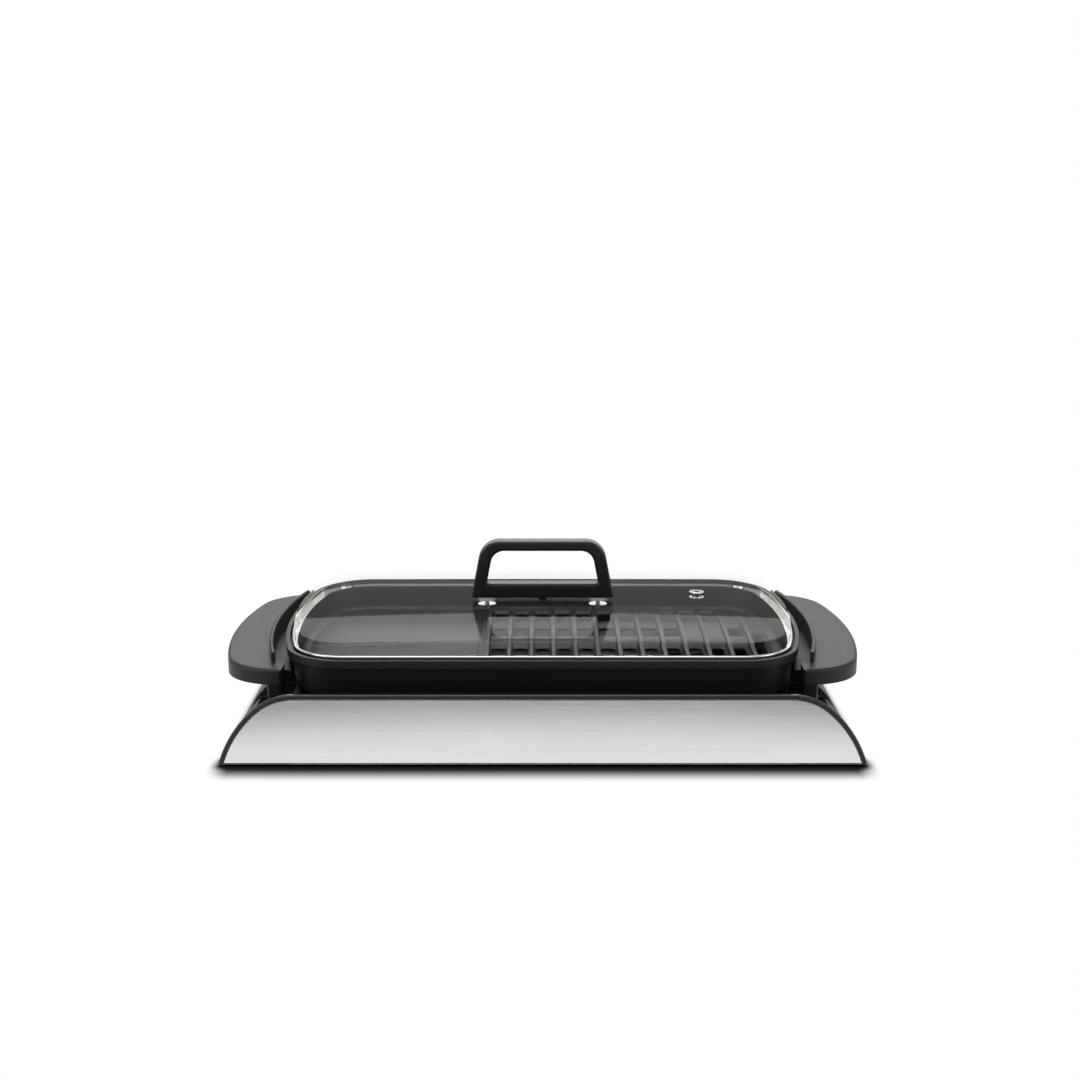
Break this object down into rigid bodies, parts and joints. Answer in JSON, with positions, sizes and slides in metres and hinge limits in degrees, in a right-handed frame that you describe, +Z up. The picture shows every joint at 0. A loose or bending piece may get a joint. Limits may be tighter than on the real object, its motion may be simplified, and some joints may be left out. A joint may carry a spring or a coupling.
{
  "type": "smokeless grill",
  "caption": "Countertop electric grill: cast plate half flat and half slotted, pressed drip tray below, arched base with steel front, loose domed glass lid with loop handle.",
  "frame": {"origin": "middle of the footprint on the table, under the feet", "axes": "+X to the right along the length, +Y to the back, +Z up"},
  "size_m": [0.556, 0.33, 0.1533],
  "materials": {
    "base_plastic": "satin black moulding",
    "fascia_steel": "horizontally brushed",
    "foot_rubber": "matte",
    "bright_wire": "bright",
    "tray_aluminium": "satin pressed sheet",
    "plate_coating": "black non-stick coating on a casting",
    "handle_plastic": "fine matte texture",
    "element_steel": "dull sheath",
    "strap_steel": "plain sheet",
    "screw_steel": "zinc plated",
    "socket_plastic": "matte",
    "pin_metal": "plated",
    "lid_glass": "clear",
    "rim_steel": "polished band",
    "grip_plastic": "satin black",
    "seat_silicone": "grey silicone"
  },
  "bodies": {
    "base": {"base_shell": "base_plastic", "front_fascia": "fascia_steel", "base_feet": "foot_rubber", "latch_bracket": "bright_wire"},
    "bail": {"latch_bail": "bright_wire"},
    "tray": {"drip_tray": "tray_aluminium"},
    "plate": {"grill_plate": "plate_coating", "left_handle": "handle_plastic", "right_handle": "handle_plastic", "handle_screws": "screw_steel", "heating_element": "element_steel", "element_straps": "strap_steel", "strap_screws": "screw_steel", "socket_shroud": "socket_plastic", "socket_screws": "screw_steel", "terminal_pins": "pin_metal", "probe_sleeve": "pin_metal"},
    "lid": {"lid_rim": "rim_steel", "lid_glass": "lid_glass", "lid_handle": "grip_plastic", "lid_handle_seats": "seat_silicone", "lid_screw_washers": "screw_steel", "lid_handle_screws": "screw_steel", "vent_eyelet": "rim_steel"}
  },
  "joints": [
    {"name": "plate_lift", "type": "slide", "parent": "base", "child": "plate", "axis": [0, 0, 1], "range_m": [0, 0.135]},
    {"name": "lid_lift", "type": "slide", "parent": "plate", "child": "lid", "axis": [0, 0, 1], "range_m": [0, 0.09]},
    {"name": "tray_lift", "type": "slide", "parent": "base", "child": "tray", "axis": [0, 0, 1], "range_m": [0, 0.081]},
    {"name": "bail_swing", "type": "hinge", "parent": "base", "child": "bail", "pos_m": [0.2265, -0.088, 0.0375], "axis": [0, 1, 0], "range_deg": [-12, 28]}
  ],
  "couplings": [
    {"joint": "tray_lift", "follows": "plate_lift", "ratio": 0.6}
  ]
}
